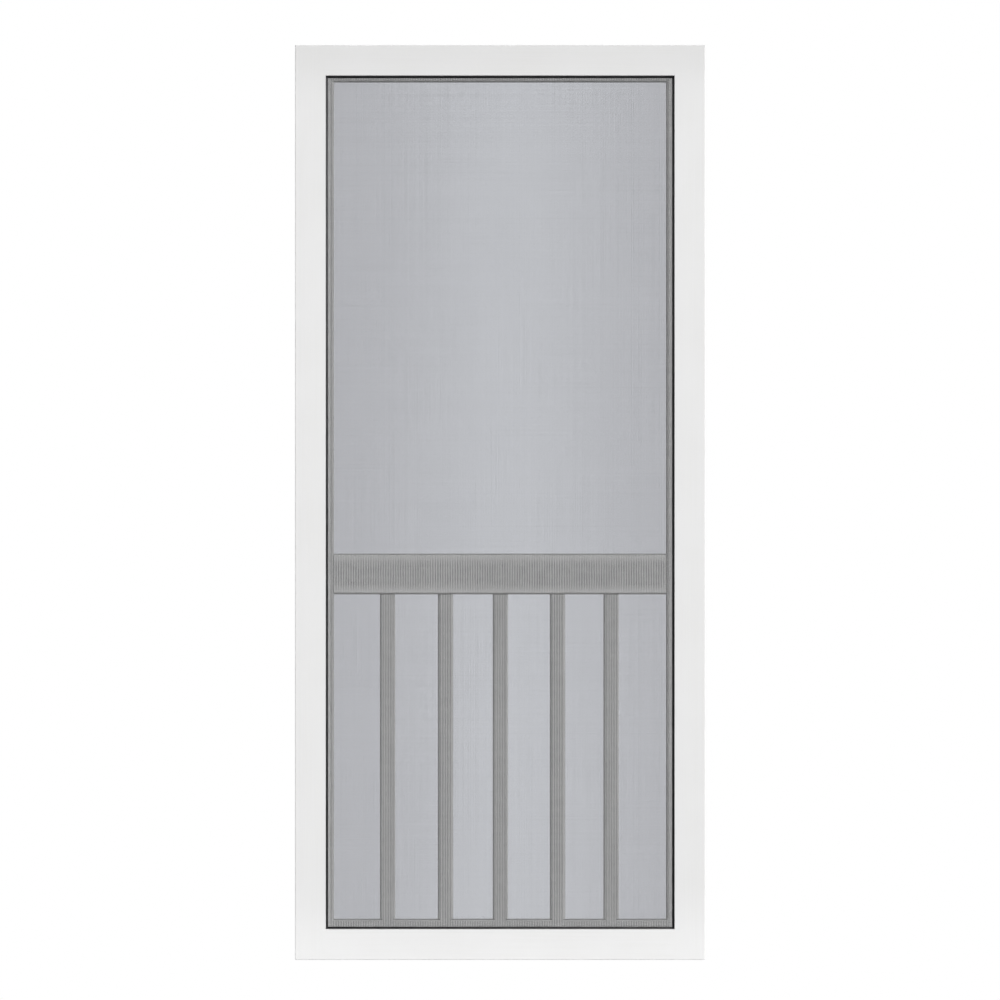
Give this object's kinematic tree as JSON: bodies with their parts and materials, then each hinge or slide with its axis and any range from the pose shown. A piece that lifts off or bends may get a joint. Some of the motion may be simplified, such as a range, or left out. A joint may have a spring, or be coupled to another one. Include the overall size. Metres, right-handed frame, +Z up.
{
  "type": "vinyl screen door leaf",
  "caption": "White hollow vinyl screen door leaf with a mid rail and upright bars behind one charcoal insect screen held in by a black spline",
  "frame": {"origin": "on the flat outer face of the hinge edge, at the foot of the leaf and in the middle of its thickness", "axes": "+X across the leaf from the hinge edge to the latch edge, -Y out of the screened front, +Z up"},
  "size_m": [0.908, 0.0254, 2.026],
  "materials": {
    "white_vinyl": "satin white extruded vinyl",
    "plug_vinyl": "moulded white",
    "screen_mesh": "charcoal coated glass-fibre mesh",
    "spline_cord": "black ribbed vinyl cord"
  },
  "bodies": {
    "root": {"hinge_stile": "white_vinyl", "latch_stile": "white_vinyl", "top_rail": "white_vinyl", "bottom_rail": "white_vinyl", "mid_rail": "white_vinyl", "bar_1": "white_vinyl", "bar_2": "white_vinyl", "bar_3": "white_vinyl", "bar_4": "white_vinyl", "bar_5": "white_vinyl", "hinge_stile_foot_plug": "plug_vinyl", "hinge_stile_head_plug": "plug_vinyl", "latch_stile_foot_plug": "plug_vinyl", "latch_stile_head_plug": "plug_vinyl", "screen": "screen_mesh", "screen_tucked_edge": "screen_mesh", "spline_left": "spline_cord", "spline_right": "spline_cord", "spline_top": "spline_cord", "spline_bottom": "spline_cord"}
  },
  "joints": []
}
